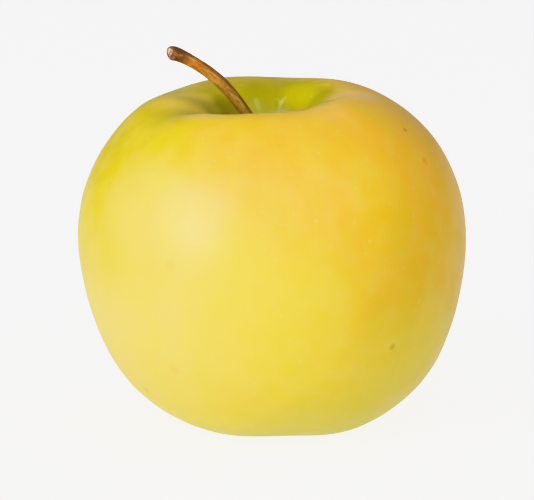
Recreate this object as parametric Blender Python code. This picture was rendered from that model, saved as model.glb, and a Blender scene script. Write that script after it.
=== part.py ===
"""A yellow dessert apple as picked, standing on the lobes round its basin.

Metres, +Z up. The origin is the middle of the base, on the surface that the fruit stands on, and -Y is the
front. The fruit is one solid. Its stem stands in the dip at the top and leans to -X. The dried remains of
the flower hang in the basin underneath: sepals round the rim of the flower tube, stamens and styles in it.
"""

import math

import bmesh
import bpy
from mathutils import Matrix, Vector

MM = 0.001
TURN = 2 * math.pi

# The fruit's half outline, as radius and height in mm, before it is made uneven. The first points are the
# socket that the stem stands in, the middle ones are control points of a smooth curve from the dip over
# the crest and the cheek to the basin, and the last ones are the flower tube.
SOCKET = ((0.0, 47.0), (1.5, 47.0))
CURVE = (
    (1.5, 49.0),
    (3.5, 49.0),
    (6.5, 53.0),
    (8.3, 60.5),
    (13.8, 67.2),
    (22.5, 67.5),
    (28.5, 64.0),
    (36.0, 56.0),
    (40.5, 43.5),
    (39.5, 27.5),
    (34.5, 12.5),
    (27.8, 4.6),
    (21.2, 0.4),
    (15.0, -0.5),
    (10.0, 1.0),
    (6.5, 6.0),
    (4.5, 7.5),
    (2.5, 7.5),
)
FLOWER_TUBE = ((2.1, 9.0), (0.9, 12.0), (0.0, 12.0))
CURVE_STEPS = 3
SIDES = 64

# How the real fruit differs from the turned one. Heights and shifts are in mm, angles in degrees.
DEPTH_TO_WIDTH = 0.96
DIP_SHIFT = (-1.4, 0.2)
CREST_TILT = (0.9, 0.6)
CREST_TWIST = (-0.2, -0.2)
CREST_LOBES = (-0.3, 3.4)
BASE_TILT = -0.15
BASE_LOBES = (-0.26, 23.0)
LEAN = -1.5
LOBES = 5

# The grooves in the crest and the swellings beside them: each one's height in mm, then its place round the
# crest and its width in degrees.
CREST_SWELLS = (
    (-0.9, 194.0, 18.0),
    (-0.3, 211.0, 10.0),
    (0.45, 229.0, 13.0),
    (-0.25, 244.0, 24.0),
    (0.2, 285.0, 14.0),
)

# Heights in mm between which each of those effects fades in, and the radii that they spare.
TOP_FADE = (30.0, 66.0)
BASE_FADE = (26.0, 0.0)
AXIS_FADE = (0.0, 14.0)
DIP_FADE = (36.0, 20.0)
LEAN_SPAN = 72.0

# The stem's route from its socket to its cut tip, in mm, with its radius there.
STEM = (
    ((-0.95, 0.1, 47.4), 1.1),
    ((-0.95, 0.1, 52.0), 1.1),
    ((-2.3, 0.0, 59.2), 1.1),
    ((-5.0, -0.3, 63.2), 1.2),
    ((-8.6, -1.0, 68.4), 1.2),
    ((-12.8, -1.7, 72.6), 1.2),
    ((-17.5, -2.5, 75.6), 1.02),
    ((-19.9, -2.8, 76.6), 1.6),
    ((-20.6, -3.4, 76.5), 1.42),
)
STEM_STEPS = 4
STEM_BEVEL = 3

# The dried flower: each sepal's middle line as radius and height in mm, with its half width there.
SEPALS = 5
SEPAL = (
    (3.3, 6.8, 1.6),
    (3.6, 5.4, 1.8),
    (3.2, 3.9, 1.5),
    (2.5, 2.7, 1.0),
    (2.6, 1.6, 0.5),
    (3.4, 1.0, 0.2),
)
SEPAL_THICKNESS = 0.4
SEPAL_HOLLOW = 0.35

# The ring or column that each set of threads hangs from, as its inner and outer radius and its lowest and
# highest point in mm, then how many threads hang from it, how long they are, how far their ends stand out
# from the axis and how thin they are there, both as a share of what they start from.
STAMENS = ((1.15, 1.7, 7.9, 8.5), 10, 3.4, 0.94, 0.6)
STYLES = ((0.2, 0.75, 7.5, 11.3), 5, 3.6, 1.25, 0.45)

# How far the lean of the fruit carries the flower tube from the axis, in mm.
FLOWER_SHIFT = 0.6

# Points this close, in metres, become one.
WELD = 0.00001
SHARP_ANGLE = 50.0


def clear_scene():
    """Remove every object that the scene starts with."""
    for found in list(bpy.data.objects):
        bpy.data.objects.remove(found)


def finish(name, colour, roughness):
    """Return a Principled material with one colour and no metal in it."""
    material = bpy.data.materials.new(name)
    material.use_nodes = True
    shader = material.node_tree.nodes["Principled BSDF"]
    shader.inputs["Base Color"].default_value = (*colour, 1.0)
    shader.inputs["Roughness"].default_value = roughness
    shader.inputs["Metallic"].default_value = 0.0
    return material


def add_object(name, data, material):
    """Link new geometry into the scene under its node's name."""
    data.materials.append(material)
    made = bpy.data.objects.new(name, data)
    bpy.context.scene.collection.objects.link(made)
    return made


def mesh_from(name, shape):
    """Close a bmesh into a smooth-shaded mesh whose faces point out."""
    bmesh.ops.remove_doubles(shape, verts=shape.verts, dist=WELD)
    bmesh.ops.recalc_face_normals(shape, faces=shape.faces)
    mesh = bpy.data.meshes.new(name)
    shape.to_mesh(mesh)
    shape.free()
    mesh.shade_smooth()
    mesh.set_sharp_from_angle(angle=math.radians(SHARP_ANGLE))
    return mesh


def smooth_curve(name, points, steps):
    """Return a cubic NURBS curve that starts and ends on its first and last control points, in mm."""
    curve = bpy.data.curves.new(name, "CURVE")
    curve.dimensions = "3D"
    spline = curve.splines.new("NURBS")
    spline.points.add(len(points) - 1)
    for point, place in zip(spline.points, points):
        point.co = (*(Vector(place) * MM), 1.0)
    spline.order_u = 4
    spline.use_endpoint_u = True
    spline.resolution_u = steps
    return curve


def fade(value, span):
    """Rise smoothly from 0 at the first number of span to 1 at the second."""
    share = (value - span[0]) / (span[1] - span[0])
    share = min(1.0, max(0.0, share))
    return share * share * (3 - 2 * share)


def uneven(point):
    """Move a point of the turned fruit, in mm, to where the real fruit has it."""
    radius = math.hypot(point.x, point.y)
    angle = math.atan2(point.y, point.x)
    top = fade(point.z, TOP_FADE)
    base = fade(point.z, BASE_FADE)
    dip = top * fade(radius, DIP_FADE)
    off_axis = fade(radius, AXIS_FADE)
    lobes, first_lobe = CREST_LOBES
    crest = CREST_TILT[0] * math.cos(angle) + CREST_TILT[1] * math.sin(angle)
    crest += CREST_TWIST[0] * math.cos(2 * angle) + CREST_TWIST[1] * math.sin(2 * angle)
    crest += lobes * math.cos(LOBES * (angle - math.radians(first_lobe)))
    for height, at, width in CREST_SWELLS:
        away = math.remainder(angle - math.radians(at), TURN)
        crest += height * math.exp(-((away / math.radians(width)) ** 2))
    lobes, first_lobe = BASE_LOBES
    under = BASE_TILT * math.cos(angle)
    under += lobes * math.cos(LOBES * (angle - math.radians(first_lobe)))
    x = point.x + DIP_SHIFT[0] * dip + LEAN * (point.z / LEAN_SPAN - 0.5)
    y = point.y * DEPTH_TO_WIDTH + DIP_SHIFT[1] * dip
    z = point.z + off_axis * (top * crest + base * under)
    return Vector((x, y, max(z, 0.0)))


def fruit_outline():
    """Return the whole half outline as points in the XZ plane, in mm."""
    control = [(radius, 0.0, height) for radius, height in CURVE]
    curve = smooth_curve("outline", control, CURVE_STEPS)
    guide = bpy.data.objects.new("outline", curve)
    line = bpy.data.meshes.new_from_object(guide)
    smooth = [vertex.co / MM for vertex in line.vertices]
    bpy.data.meshes.remove(line)
    bpy.data.objects.remove(guide)
    bpy.data.curves.remove(curve)
    ends = [Vector((radius, 0.0, height)) for radius, height in SOCKET + FLOWER_TUBE]
    return ends[: len(SOCKET)] + smooth + ends[len(SOCKET) :]


def make_fruit(material):
    """Turn the outline round the axis, then make the fruit uneven and press its base flat."""
    shape = bmesh.new()
    points = [shape.verts.new(place) for place in fruit_outline()]
    edges = [shape.edges.new(pair) for pair in zip(points, points[1:])]
    bmesh.ops.spin(
        shape,
        geom=points + edges,
        cent=(0, 0, 0),
        axis=(0, 0, 1),
        angle=TURN,
        steps=SIDES,
        use_merge=True,
    )
    for vertex in shape.verts:
        vertex.co = uneven(vertex.co) * MM
    return add_object("fruit", mesh_from("fruit", shape), material)


def make_stem(material):
    """Sweep the round stem along its route, flared where it broke from the twig."""
    curve = smooth_curve("stem", [place for place, _ in STEM], STEM_STEPS)
    for point, (_, radius) in zip(curve.splines[0].points, STEM):
        point.radius = radius
    curve.bevel_depth = MM
    curve.bevel_resolution = STEM_BEVEL
    curve.use_fill_caps = True
    return add_object("stem", curve, material)


def sepal_mesh():
    """Build one sepal at +X: a narrow leaf, hollow along its middle, with its tip curled out."""
    shape = bmesh.new()
    rows = []
    for radius, height, half_width in SEPAL:
        row = []
        for side in (-1.0, 0.0, 1.0):
            outward = radius + SEPAL_HOLLOW * (1 - abs(side))
            row.append(shape.verts.new(Vector((outward, side * half_width, height)) * MM))
        rows.append(row)
    for row, following in zip(rows, rows[1:]):
        for column in (0, 1):
            corners = (row[column], row[column + 1], following[column + 1], following[column])
            shape.faces.new(corners)
    return mesh_from("sepal", shape)


def make_sepals(material, flower):
    """Stand the sepals round the mouth of the flower tube."""
    leaf = sepal_mesh()
    for number in range(SEPALS):
        sepal = add_object(f"sepal_{number + 1}", leaf.copy(), material)
        sepal.rotation_euler.z = TURN * number / SEPALS
        sepal.parent = flower
        wall = sepal.modifiers.new("thickness", "SOLIDIFY")
        wall.thickness = SEPAL_THICKNESS * MM
        wall.offset = 0.0
        wall.use_even_offset = True


def ring_shape(inner, outer, low, high, sides):
    """Return a plain ring and its lower faces. Its sizes are in mm."""
    shape = bmesh.new()
    section = [(outer, high), (outer, low), (inner, low), (inner, high)]
    rims = []
    for radius, height in section:
        rim = []
        for side in range(sides):
            turn = Matrix.Rotation(TURN * side / sides, 3, "Z")
            rim.append(shape.verts.new(turn @ Vector((radius, 0.0, height)) * MM))
        rims.append(rim)
    lower = []
    for rim, following in zip(rims, rims[1:] + rims[:1]):
        for side in range(sides):
            beside = (side + 1) % sides
            face = shape.faces.new((rim[side], following[side], following[beside], rim[beside]))
            if rim is rims[1]:
                lower.append(face)
    return shape, lower


def draw_down(shape, face, length, spread, taper):
    """Extrude a face down into a thread whose end is moved out by spread and narrowed by taper."""
    drawn = bmesh.ops.extrude_discrete_faces(shape, faces=[face])["faces"][0]
    middle = drawn.calc_center_median()
    end = Vector((middle.x * spread, middle.y * spread, middle.z - length * MM))
    for vertex in drawn.verts:
        vertex.co = end + (vertex.co - middle) * taper


def make_threads(name, threads, material, flower):
    """Draw every second lower face of a ring down into a thread."""
    ring, count, length, spread, taper = threads
    shape, lower = ring_shape(*ring, sides=2 * count)
    for face in lower[::2]:
        draw_down(shape, face, length, spread, taper)
    made = add_object(name, mesh_from(name, shape), material)
    made.parent = flower


def make_flower(husk, thread):
    """Hang the dried flower on an empty that stands where the flower tube is."""
    flower = bpy.data.objects.new("flower", None)
    bpy.context.scene.collection.objects.link(flower)
    flower.location.x = FLOWER_SHIFT * MM
    make_sepals(husk, flower)
    make_threads("stamens", STAMENS, thread, flower)
    make_threads("styles", STYLES, thread, flower)


def main():
    """Build every piece of the apple."""
    clear_scene()
    make_fruit(finish("skin", (0.86, 0.66, 0.06), 0.38))
    make_stem(finish("bark", (0.30, 0.16, 0.06), 0.65))
    make_flower(finish("husk", (0.16, 0.10, 0.05), 0.85), finish("thread", (0.09, 0.06, 0.04), 0.9))


main()
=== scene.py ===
"""The looks of a yellow dessert apple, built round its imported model.

Metres, +Z up, and -Y is the front. Each class makes one sub-assembly where the frame has it, dresses it and
hands it to its body. Sizes in the classes are in millimetres and angles in degrees, unless a comment says
otherwise. The fruit is turned from its half outline and then made as uneven as a grown one, the stem is
swept along its route, and the dried flower hangs in the basin underneath.
"""

import logging
import math
import random
from abc import ABC, abstractmethod
from collections.abc import Callable, Iterator, Mapping, Sequence
from contextlib import contextmanager
from dataclasses import dataclass
from enum import Enum
from functools import cache, cached_property
from typing import ClassVar

import bmesh
import bpy
import numpy as np
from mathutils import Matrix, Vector, noise


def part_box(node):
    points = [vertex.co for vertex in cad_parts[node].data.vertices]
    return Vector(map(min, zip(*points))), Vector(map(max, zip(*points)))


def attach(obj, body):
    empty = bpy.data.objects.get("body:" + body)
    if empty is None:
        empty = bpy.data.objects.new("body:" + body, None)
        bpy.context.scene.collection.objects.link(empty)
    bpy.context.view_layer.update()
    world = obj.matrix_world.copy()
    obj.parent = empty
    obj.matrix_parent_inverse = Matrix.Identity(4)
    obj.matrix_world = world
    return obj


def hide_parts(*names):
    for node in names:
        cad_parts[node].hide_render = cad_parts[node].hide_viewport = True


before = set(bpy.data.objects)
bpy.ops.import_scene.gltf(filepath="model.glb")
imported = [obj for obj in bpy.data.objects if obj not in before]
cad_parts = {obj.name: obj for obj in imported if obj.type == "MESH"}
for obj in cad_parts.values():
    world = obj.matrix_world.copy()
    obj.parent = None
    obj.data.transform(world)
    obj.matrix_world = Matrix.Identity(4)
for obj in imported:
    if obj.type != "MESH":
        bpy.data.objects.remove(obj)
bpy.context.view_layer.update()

MM = 0.001
TURN = 2 * math.pi
WELD = 0.00001

log = logging.getLogger("apple")

Place = tuple[float, float, float]
Colour = tuple[float, float, float]
Span = tuple[float, float]
Outline = tuple[tuple[float, float], ...]  # radii and heights
Value = float | Sequence[float] | bpy.types.NodeSocket


class Slot(Enum):
    """The record's material slots."""

    SKIN = "skin"
    BARK = "bark"
    HUSK = "husk"
    THREAD = "thread"


class Mark(Enum):
    """The attributes that carry a pattern's own places over a surface."""

    GRAIN = "grain"
    DIP = "dip"
    BASIN = "basin"
    CUT = "cut"
    ALONG = "along"


# Modelling in code.


def pick(piece: bpy.types.Object) -> None:
    """Select one object alone and make it the active one.

    Args:
        piece: The object to work on.
    """
    bpy.ops.object.select_all(action="DESELECT")
    piece.select_set(True)
    bpy.context.view_layer.objects.active = piece


@contextmanager
def editing(piece: bpy.types.Object) -> Iterator[None]:
    """Work on one mesh in edit mode.

    Args:
        piece: The mesh object.

    Yields:
        Nothing. The mesh is in edit mode until the block ends.
    """
    pick(piece)
    bpy.ops.object.mode_set(mode="EDIT")
    yield
    bpy.ops.object.mode_set(mode="OBJECT")


def add_shape(add: Callable[..., object], **settings: object) -> bpy.types.Object:
    """Add one of Blender's own shapes with nothing else selected, and apply its place to its mesh.

    Args:
        add: The operator that adds it.
        settings: The operator's own settings.

    Returns:
        The new object.
    """
    bpy.ops.object.select_all(action="DESELECT")
    add(**settings)
    bpy.ops.object.transform_apply(location=True, rotation=True, scale=True)
    return bpy.context.object


def select_points(chosen: Callable[[Vector], bool]) -> None:
    """Select the points of the mesh in edit mode whose place passes a test.

    Args:
        chosen: Says of a point's place, in metres, whether it is selected.
    """
    shape = bmesh.from_edit_mesh(bpy.context.edit_object.data)
    for point in shape.verts:
        point.select = chosen(point.co)
    shape.select_flush_mode()
    bmesh.update_edit_mesh(bpy.context.edit_object.data)


def select_faces(chosen: Callable[[bmesh.types.BMFace], bool]) -> None:
    """Select the faces of the mesh in edit mode that pass a test.

    Args:
        chosen: Says of a face whether it is selected.
    """
    shape = bmesh.from_edit_mesh(bpy.context.edit_object.data)
    bpy.ops.mesh.select_all(action="DESELECT")
    bpy.ops.mesh.select_mode(type="FACE")
    for face in shape.faces:
        face.select_set(chosen(face))
    bmesh.update_edit_mesh(bpy.context.edit_object.data)


def close_up() -> None:
    """Weld the mesh in edit mode where it meets itself and turn its faces outwards."""
    bpy.ops.mesh.select_all(action="SELECT")
    bpy.ops.mesh.remove_doubles(threshold=WELD)
    bpy.ops.mesh.normals_make_consistent(inside=False)


def smooth_line(name: str, routes: Sequence[Sequence[Place]], steps: int) -> bpy.types.Object:
    """Add a curve with one smooth spline along each route.

    Args:
        name: The new object's name.
        routes: The control points of each spline, in mm. A spline starts and ends on its first and last.
        steps: How many points each stretch between control points gets.

    Returns:
        The curve object.
    """
    bpy.ops.object.select_all(action="DESELECT")
    bpy.ops.curve.primitive_nurbs_path_add(location=(0, 0, 0))
    line = bpy.context.object
    line.name = name
    line.data.splines.clear()
    for route in routes:
        spline = line.data.splines.new("NURBS")
        spline.points.add(len(route) - 1)
        for point, place in zip(spline.points, route):
            point.co = (*(Vector(place) * MM), 1.0)
        spline.order_u = 4
        spline.use_endpoint_u = True
        spline.resolution_u = steps
    return line


def half_outline(name: str, outline: Outline, steps: int) -> bpy.types.Object:
    """Return a smooth half outline as a mesh line in the XZ plane.

    Args:
        name: The new object's name.
        outline: The radius and height of each of its control points.
        steps: How many points each stretch between them gets.

    Returns:
        The mesh object.
    """
    line = smooth_line(name, [[(radius, 0.0, height) for radius, height in outline]], steps)
    pick(line)
    bpy.ops.object.convert(target="MESH")
    return line


def spin_round(line: bpy.types.Object, sides: int) -> None:
    """Turn a half outline all the way round the axis.

    Args:
        line: The mesh line. It becomes the whole shape.
        sides: How many sides the shape gets.
    """
    with editing(line):
        bpy.ops.mesh.select_all(action="SELECT")
        bpy.ops.mesh.spin(steps=sides, angle=TURN, center=(0, 0, 0), axis=(0, 0, 1))
        close_up()


def thicken(line: bpy.types.Object, radii: Sequence[Sequence[float]], bevel: int) -> None:
    """Sweep a round section along a curve and make a mesh of it.

    Args:
        line: The curve object. It becomes a mesh object.
        radii: The section's radius at each control point of each spline, in mm.
        bevel: The bevel's resolution, which gives twice this plus 4 sides.
    """
    for spline, sizes in zip(line.data.splines, radii):
        for point, radius in zip(spline.points, sizes):
            point.radius = radius
    line.data.bevel_depth = MM
    line.data.bevel_resolution = bevel
    line.data.use_fill_caps = True
    pick(line)
    bpy.ops.object.convert(target="MESH")


def apply_modifier(piece: bpy.types.Object, kind: str, **settings: float | bool) -> None:
    """Give a mesh one modifier and apply it.

    Args:
        piece: The mesh object.
        kind: The modifier's type.
        settings: The modifier's own settings.
    """
    pick(piece)
    modifier = piece.modifiers.new(kind.lower(), kind)
    for name, value in settings.items():
        setattr(modifier, name, value)
    bpy.ops.object.modifier_apply(modifier=modifier.name)


def smooth_faces(piece: bpy.types.Object, crease: float) -> None:
    """Shade a mesh smooth, apart from its edges that are sharper than an angle."""
    pick(piece)
    bpy.ops.object.shade_smooth_by_angle(angle=math.radians(crease))


def line_places(line: bpy.types.Object) -> np.ndarray:
    """Return the places along a curve that has no section yet.

    Args:
        line: The curve object.

    Returns:
        One row for each place, in mm.
    """
    evaluated = line.evaluated_get(bpy.context.evaluated_depsgraph_get())
    places = np.array([vertex.co for vertex in evaluated.to_mesh().vertices]) / MM
    evaluated.to_mesh_clear()
    return places


def places_of(piece: bpy.types.Object) -> np.ndarray:
    """Return the places of a mesh's points.

    Args:
        piece: The mesh object.

    Returns:
        One row for each point, in mm.
    """
    places = np.empty(len(piece.data.vertices) * 3, np.float32)
    piece.data.vertices.foreach_get("co", places)
    return places.reshape(-1, 3).astype(float) / MM


def move_to(piece: bpy.types.Object, places: np.ndarray) -> None:
    """Move a mesh's points to the places of the rows, which are in mm."""
    piece.data.vertices.foreach_set("co", (places * MM).astype(np.float32).ravel())
    piece.data.update()


def write_mark(piece: bpy.types.Object, mark: Mark, values: np.ndarray) -> None:
    """Store a value or a vector at each point of a mesh, for its material to read.

    Args:
        piece: The mesh object.
        mark: The attribute to write.
        values: One number or one row of three for each point.
    """
    kind, field = ("FLOAT", "value") if values.ndim == 1 else ("FLOAT_VECTOR", "vector")
    attribute = piece.data.attributes.new(mark.value, kind, "POINT")
    attribute.data.foreach_set(field, values.astype(np.float32).ravel())


def fade(value: np.ndarray, span: Span) -> np.ndarray:
    """Rise smoothly from 0 at the first number of span to 1 at the second."""
    share = np.clip((value - span[0]) / (span[1] - span[0]), 0.0, 1.0)
    return share * share * (3 - 2 * share)


def lumps(places: np.ndarray, size: float) -> np.ndarray:
    """Return smooth noise from about -1 to 1 at each place, with lumps as wide as size."""
    return np.array([noise.noise(Vector(place)) for place in places / size])


def bell(angle: np.ndarray, at: float, width: float) -> np.ndarray:
    """Return a smooth swell round the axis, which is 1 where the angle is at and fades over width."""
    away = (angle - math.radians(at) + math.pi) % TURN - math.pi
    return np.exp(-((away / math.radians(width)) ** 2))


def push_out(piece: bpy.types.Object, height: np.ndarray) -> None:
    """Move each point of a mesh outwards.

    Args:
        piece: The mesh object.
        height: How far each point moves, in mm.
    """
    normals = np.empty(len(piece.data.vertices) * 3, np.float32)
    piece.data.vertex_normals.foreach_get("vector", normals)
    move_to(piece, places_of(piece) + normals.reshape(-1, 3) * height[:, None])


def join(pieces: Sequence[bpy.types.Object]) -> bpy.types.Object:
    """Join meshes into the first of them.

    Args:
        pieces: The mesh objects.

    Returns:
        The first one, which now holds them all.
    """
    pick(pieces[0])
    for piece in pieces[1:]:
        piece.select_set(True)
    bpy.ops.object.join()
    return pieces[0]


def middle_of(node: str) -> np.ndarray:
    """Return the middle of a node's box, in mm."""
    low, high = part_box(node)
    return np.array((low + high) / 2) / MM


def direction(azimuth: float, elevation: float) -> Vector:
    """Return the way to look from the middle, with azimuth 0 to the front and 90 to the right."""
    across, up = math.radians(azimuth), math.radians(elevation)
    return Vector((math.sin(across) * math.cos(up), -math.cos(across) * math.cos(up), math.sin(up)))


# Laying out shader nodes.


class Graph:
    """A shader node tree that is being laid out."""

    def __init__(self, tree: bpy.types.NodeTree) -> None:
        """Start on a tree that the nodes go into."""
        self.tree = tree

    def link(self, value: bpy.types.NodeSocket, socket: bpy.types.NodeSocket) -> None:
        """Feed a value to a socket."""
        self.tree.links.new(value, socket)

    def add(
        self, kind: str, inputs: Mapping[str | int, Value] | None = None, **settings: object
    ) -> bpy.types.Node:
        """Add one node.

        Args:
            kind: The node's type, without its ShaderNode prefix.
            inputs: A socket to link or a value to set, by input name or number.
            settings: The node's own settings.

        Returns:
            The node.
        """
        node = self.tree.nodes.new("ShaderNode" + kind)
        for name, value in settings.items():
            setattr(node, name, value)
        for key, value in (inputs or {}).items():
            if isinstance(value, bpy.types.NodeSocket):
                self.link(value, node.inputs[key])
            else:
                node.inputs[key].default_value = value
        return node

    def math(self, operation: str, *values: Value) -> bpy.types.NodeSocket:
        """Return the result of one sum on plain values."""
        return self.add("Math", dict(enumerate(values)), operation=operation).outputs[0]

    def vector(self, operation: str, *values: Value) -> bpy.types.NodeSocket:
        """Return the vector that one sum on vectors gives."""
        return self.add("VectorMath", dict(enumerate(values)), operation=operation).outputs["Vector"]

    def measure(self, operation: str, *values: Value) -> bpy.types.NodeSocket:
        """Return the plain value that one sum on vectors gives."""
        return self.add("VectorMath", dict(enumerate(values)), operation=operation).outputs["Value"]

    def scaled(self, vector: Value, factor: Value) -> bpy.types.NodeSocket:
        """Return a vector made longer or shorter."""
        node = self.add("VectorMath", {0: vector, "Scale": factor}, operation="SCALE")
        return node.outputs["Vector"]

    def step(self, value: Value, low: Value, high: Value) -> bpy.types.NodeSocket:
        """Return a value that rises smoothly from 0 to 1 as another goes from low to high."""
        inputs = {"Value": value, "From Min": low, "From Max": high}
        return self.add("MapRange", inputs, interpolation_type="SMOOTHSTEP").outputs["Result"]

    def mix(self, share: Value, under: Value, over: Value) -> bpy.types.NodeSocket:
        """Return one colour laid over another, with share of the upper one showing."""
        inputs = {0: share, 6: rgba(under), 7: rgba(over)}
        return self.add("Mix", inputs, data_type="RGBA").outputs[2]

    def attribute(self, mark: Mark, output: str = "Fac") -> bpy.types.NodeSocket:
        """Return one of the piece's own attributes, as a plain value or as a vector."""
        return self.add("Attribute", attribute_name=mark.value).outputs[output]

    def grain_part(self, axis: str) -> bpy.types.NodeSocket:
        """Return the X, Y or Z of the way that the piece grew."""
        return self.add("SeparateXYZ", {0: self.attribute(Mark.GRAIN, "Vector")}).outputs[axis]

    @cached_property
    def place(self) -> bpy.types.NodeSocket:
        """Return the place in the piece's own space, in mm."""
        return self.scaled(self.add("TexCoord").outputs["Object"], 1 / MM)

    def group(self, effect: bpy.types.NodeTree, inputs: Mapping[str, Value]) -> bpy.types.Node:
        """Place a shared effect with inputs of its own."""
        return self.add("Group", inputs, node_tree=effect)

    def patches(self, size: float, edges: Span, detail: float = 2.0) -> bpy.types.NodeSocket:
        """Return soft patches as wide as size, which start and are full at the noise's values in edges."""
        inputs = {"Place": self.place, "Size": size, "Detail": detail, "Low": edges[0], "High": edges[1]}
        return self.group(cloud_effect(), inputs).outputs["Mask"]

    def paint(self, shader: bpy.types.Node, ground: Colour, layers: Sequence["Layer"]) -> None:
        """Lay a finish's layers over its ground, for the shader's base colour.

        Args:
            shader: The material's shader.
            ground: The colour under them all.
            layers: The layers, from the lowest up.
        """
        colour: Value = ground
        for layer in layers:
            colour = layer.lay(self, colour)
        self.link(colour, shader.inputs["Base Color"])

    def raise_relief(self, shader: bpy.types.Node, height: Value, depth: float) -> None:
        """Raise a pattern from 0 to 1 on a surface by a depth in mm."""
        bump = self.add("Bump", {"Height": height, "Distance": depth * MM, "Strength": 1.0})
        self.link(bump.outputs["Normal"], shader.inputs["Normal"])


def rgba(colour: Value) -> Value:
    """Return a colour with its alpha, or a socket as it is."""
    return colour if isinstance(colour, bpy.types.NodeSocket) else (*colour, 1.0)


def new_effect(
    name: str, inputs: Mapping[str, float | Place], outputs: Sequence[str]
) -> tuple[Graph, bpy.types.NodeOutputs, bpy.types.NodeInputs]:
    """Start a shared effect, which is a shader node group with named sockets.

    Args:
        name: The effect's name.
        inputs: Each input's usual value, which is a plain value or a vector.
        outputs: The names of its outputs, which are plain values.

    Returns:
        The effect's graph, what comes into it and what goes out.
    """
    tree = bpy.data.node_groups.new(name, "ShaderNodeTree")
    for key, value in inputs.items():
        kind = "NodeSocketFloat" if isinstance(value, float) else "NodeSocketVector"
        tree.interface.new_socket(name=key, in_out="INPUT", socket_type=kind).default_value = value
    for key in outputs:
        tree.interface.new_socket(name=key, in_out="OUTPUT", socket_type="NodeSocketFloat")
    return Graph(tree), tree.nodes.new("NodeGroupInput").outputs, tree.nodes.new("NodeGroupOutput").inputs


NOWHERE: Place = (0.0, 0.0, 0.0)
DOT_LOOSENESS = 0.85  # how far a dot may be from the middle of its cell
DOT_SIZES: Span = (0.55, 1.25)  # the smallest and largest dot, as shares of the radius
DOT_FULL = 0.35  # the share of its own radius within which a dot is full
DOT_CORE = 0.45  # and within which its core lies
FIBRE_DETAIL = 3.0


@cache
def facing_effect() -> bpy.types.NodeTree:
    """Return the effect that is strongest on the side of a round thing that faces one way.

    Returns:
        The effect's tree.
    """
    sockets = {"Place": NOWHERE, "Core": NOWHERE, "Toward": (0.0, 0.0, 1.0), "Low": 0.0, "High": 1.0}
    graph, into, out = new_effect("facing", sockets, ["Mask"])
    way = graph.vector("NORMALIZE", graph.vector("SUBTRACT", into["Place"], into["Core"]))
    likeness = graph.measure("DOT_PRODUCT", way, into["Toward"])
    graph.link(graph.step(likeness, into["Low"], into["High"]), out["Mask"])
    return graph.tree


@cache
def cloud_effect() -> bpy.types.NodeTree:
    """Return the effect of soft patches of one size, with no sharp edges.

    Returns:
        The effect's tree.
    """
    sockets = {"Place": NOWHERE, "Size": 1.0, "Detail": 2.0, "Low": 0.35, "High": 0.65}
    graph, into, out = new_effect("cloud", sockets, ["Mask"])
    scale = graph.math("DIVIDE", 1.0, into["Size"])
    inputs = {"Vector": into["Place"], "Scale": scale, "Detail": into["Detail"]}
    patches = graph.add("TexNoise", inputs).outputs["Fac"]
    graph.link(graph.step(patches, into["Low"], into["High"]), out["Mask"])
    return graph.tree


@cache
def dot_effect() -> bpy.types.NodeTree:
    """Return the effect of small round dots, each in a cell of its own and each of its own size.

    Returns:
        The effect's tree.
    """
    sockets = {"Place": NOWHERE, "Spacing": 1.0, "Radius": 0.2, "Share": 0.5}
    graph, into, out = new_effect("dots", sockets, ["Mask", "Core"])
    scale = graph.math("DIVIDE", 1.0, into["Spacing"])
    cells = graph.add("TexVoronoi", {"Vector": into["Place"], "Scale": scale, "Randomness": DOT_LOOSENESS})
    parts = graph.add("SeparateColor", {"Color": cells.outputs["Color"]})
    present = graph.math("LESS_THAN", parts.outputs[0], into["Share"])
    size = graph.math("MULTIPLY_ADD", parts.outputs[1], DOT_SIZES[1] - DOT_SIZES[0], DOT_SIZES[0])
    distance = graph.math("MULTIPLY", cells.outputs["Distance"], into["Spacing"])
    radius = graph.math("MULTIPLY", into["Radius"], size)
    outer = graph.step(distance, radius, graph.math("MULTIPLY", radius, DOT_FULL))
    inner = graph.step(distance, graph.math("MULTIPLY", radius, DOT_CORE), 0.0)
    graph.link(graph.math("MULTIPLY", outer, present), out["Mask"])
    graph.link(graph.math("MULTIPLY", inner, present), out["Core"])
    return graph.tree


@cache
def fibre_effect() -> bpy.types.NodeTree:
    """Return the effect of fine lines that run along a piece.

    Returns:
        The effect's tree.
    """
    sockets = {"Grain": NOWHERE, "Around": 6.0, "Along": 0.1, "Low": 0.35, "High": 0.65}
    graph, into, out = new_effect("fibres", sockets, ["Mask"])
    stretch = graph.add("CombineXYZ", {0: into["Around"], 1: into["Around"], 2: into["Along"]}).outputs[0]
    place = graph.vector("MULTIPLY", into["Grain"], stretch)
    lines = graph.add("TexNoise", {"Vector": place, "Scale": 1.0, "Detail": FIBRE_DETAIL}).outputs["Fac"]
    graph.link(graph.step(lines, into["Low"], into["High"]), out["Mask"])
    return graph.tree


def start_material(name: str) -> tuple[Graph, bpy.types.Node, bpy.types.Material]:
    """Start a material on its Principled shader.

    Args:
        name: The material's name.

    Returns:
        Its graph, its shader and the material.
    """
    material = bpy.data.materials.new(name)
    material.use_nodes = True
    graph = Graph(material.node_tree)
    return graph, material.node_tree.nodes["Principled BSDF"], material


# The layers that a finish is made of.


class Layer(ABC):
    """A colour that a pattern lays over what is under it."""

    colour: Colour
    strength: float

    @abstractmethod
    def pattern(self, graph: Graph) -> Value:
        """Return where the layer shows, from 0 to 1."""

    def lay(self, graph: Graph, under: Value) -> Value:
        """Return the layer laid over the colour under it."""
        share = graph.math("MULTIPLY", self.pattern(graph), self.strength)
        return graph.mix(share, under, self.colour)


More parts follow.
